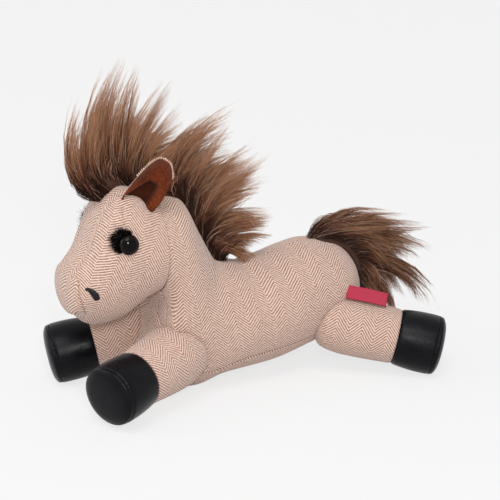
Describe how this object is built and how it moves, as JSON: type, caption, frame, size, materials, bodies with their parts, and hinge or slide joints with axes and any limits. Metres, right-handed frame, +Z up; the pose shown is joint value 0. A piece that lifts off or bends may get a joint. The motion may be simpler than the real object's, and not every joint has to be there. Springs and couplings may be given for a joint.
{
  "type": "plush horse",
  "caption": "Plush horse lying on its belly with splayed legs, leather-look hooves, cupped ears and a long-pile mane and tail.",
  "frame": {"origin": "on the floor, below the middle of the overall bounding box", "axes": "+X from the nose towards the tail along the body, +Y towards the horse's right side, +Z up from the floor"},
  "size_m": [0.292, 0.1576, 0.2375],
  "materials": {
    "tweed": "herringbone weave, matte",
    "stuffing": "polyester fill",
    "hoof_leather": "black, soft sheen",
    "suede": "rust brown suede, matte",
    "fur": "long pile, dark roots and lighter tips",
    "eye_plastic": "glossy",
    "washer_plastic": "white, moulded",
    "lash_thread": "black pile",
    "nostril_thread": "black satin stitch",
    "label_ribbon": "red woven ribbon, bare"
  },
  "bodies": {
    "torso": {"body_panel_left": "tweed", "body_panel_right": "tweed", "belly_gusset": "tweed", "body_stuffing": "stuffing", "mane_fur": "fur", "side_label": "label_ribbon"},
    "head": {"head_panel_left": "tweed", "head_panel_right": "tweed", "face_panel": "tweed", "head_stuffing": "stuffing", "forelock_fur": "fur", "eye_left": "eye_plastic", "eye_washer_left": "washer_plastic", "eyelashes_left": "lash_thread", "nostril_left": "nostril_thread", "eye_right": "eye_plastic", "eye_washer_right": "washer_plastic", "eyelashes_right": "lash_thread", "nostril_right": "nostril_thread"},
    "left_ear": {"ear_left_back": "tweed", "ear_left_lining": "suede"},
    "right_ear": {"ear_right_back": "tweed", "ear_right_lining": "suede"},
    "tail": {"tail_fur": "fur"},
    "leg_front_left_limb": {"leg_front_left_cover": "tweed", "leg_front_left_stuffing": "stuffing", "leg_front_left_hoof_band": "hoof_leather", "leg_front_left_hoof_sole": "hoof_leather"},
    "leg_front_right_limb": {"leg_front_right_cover": "tweed", "leg_front_right_stuffing": "stuffing", "leg_front_right_hoof_band": "hoof_leather", "leg_front_right_hoof_sole": "hoof_leather"},
    "leg_hind_left_limb": {"leg_hind_left_cover": "tweed", "leg_hind_left_stuffing": "stuffing", "leg_hind_left_hoof_band": "hoof_leather", "leg_hind_left_hoof_sole": "hoof_leather"},
    "leg_hind_right_limb": {"leg_hind_right_cover": "tweed", "leg_hind_right_stuffing": "stuffing", "leg_hind_right_hoof_band": "hoof_leather", "leg_hind_right_hoof_sole": "hoof_leather"}
  },
  "joints": [
    {"name": "head_turn", "type": "hinge", "parent": "torso", "child": "head", "pos_m": [-0.096, 0, 0.112], "axis": [0, 0, 1], "range_deg": [-12, 12], "stiffness_Nm_per_rad": 0.2},
    {"name": "left_ear_flap", "type": "hinge", "parent": "head", "child": "left_ear", "pos_m": [-0.0945, -0.0185, 0.14656], "axis": [0.8481, -0.2827, -0.4481], "range_deg": [-8, 16], "stiffness_Nm_per_rad": 0.01},
    {"name": "right_ear_flap", "type": "hinge", "parent": "head", "child": "right_ear", "pos_m": [-0.0945, 0.0185, 0.14652], "axis": [-0.8477, -0.2826, 0.449], "range_deg": [-8, 16], "stiffness_Nm_per_rad": 0.01},
    {"name": "tail_wag", "type": "hinge", "parent": "torso", "child": "tail", "pos_m": [0.08522, 0, 0.06433], "axis": [-0.7652, 0, 0.6438], "range_deg": [-12, 12], "stiffness_Nm_per_rad": 0.03},
    {"name": "leg_front_left_splay", "type": "hinge", "parent": "torso", "child": "leg_front_left_limb", "pos_m": [-0.07, -0.026, 0.034], "axis": [0, 0, 1], "range_deg": [0, 22], "stiffness_Nm_per_rad": 0.1},
    {"name": "leg_front_right_splay", "type": "hinge", "parent": "torso", "child": "leg_front_right_limb", "pos_m": [-0.07, 0.026, 0.034], "axis": [0, 0, -1], "range_deg": [0, 22], "stiffness_Nm_per_rad": 0.1},
    {"name": "leg_hind_left_splay", "type": "hinge", "parent": "torso", "child": "leg_hind_left_limb", "pos_m": [0.06, -0.026, 0.036], "axis": [0, 0, -1], "range_deg": [0, 20], "stiffness_Nm_per_rad": 0.1},
    {"name": "leg_hind_right_splay", "type": "hinge", "parent": "torso", "child": "leg_hind_right_limb", "pos_m": [0.06, 0.026, 0.036], "axis": [0, 0, 1], "range_deg": [0, 20], "stiffness_Nm_per_rad": 0.1}
  ]
}
